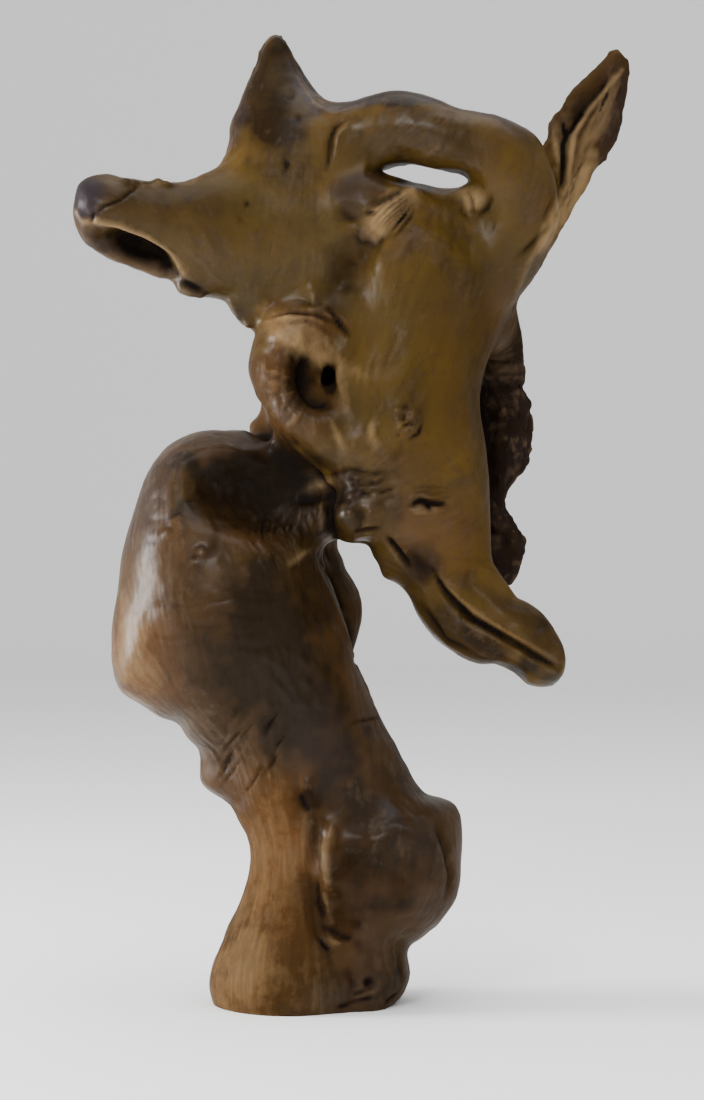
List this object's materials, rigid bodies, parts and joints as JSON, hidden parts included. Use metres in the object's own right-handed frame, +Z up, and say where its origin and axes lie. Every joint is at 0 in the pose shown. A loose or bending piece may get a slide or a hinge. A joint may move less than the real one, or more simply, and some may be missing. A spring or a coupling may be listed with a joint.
{
  "type": "root sculpture",
  "caption": "Free-standing polished root carving on a sawn flat foot, with a leaning trunk, hollowed shoulder, holed crown, snout, horn, arch, splinter and leg.",
  "frame": {"origin": "on the foot's flat sawn face, near its middle", "axes": "+Z up from the foot to the horn, +X towards the splinter and the leg, +Y away from the viewer, to the back"},
  "size_m": [0.3333, 0.1508, 0.5802],
  "materials": {
    "trunk": "dark red-brown varnished root wood, semi-gloss",
    "crown": "golden olive-brown varnished root wood, semi-gloss",
    "snout": "brown varnished root wood with a dark bluish tip, semi-gloss",
    "horn": "golden-brown varnished root wood, semi-gloss",
    "arch": "golden-brown varnished root wood, gloss",
    "splinter": "split brown root wood with a rough dark hollow, satin",
    "leg": "brown varnished root wood in two strands, semi-gloss",
    "rear_root": "nearly black gnarled root wood, satin"
  },
  "bodies": {
    "root": {"trunk": "trunk", "crown": "crown", "snout": "snout", "horn": "horn", "arch": "arch", "splinter": "splinter", "leg": "leg", "rear_root": "rear_root"}
  },
  "joints": []
}
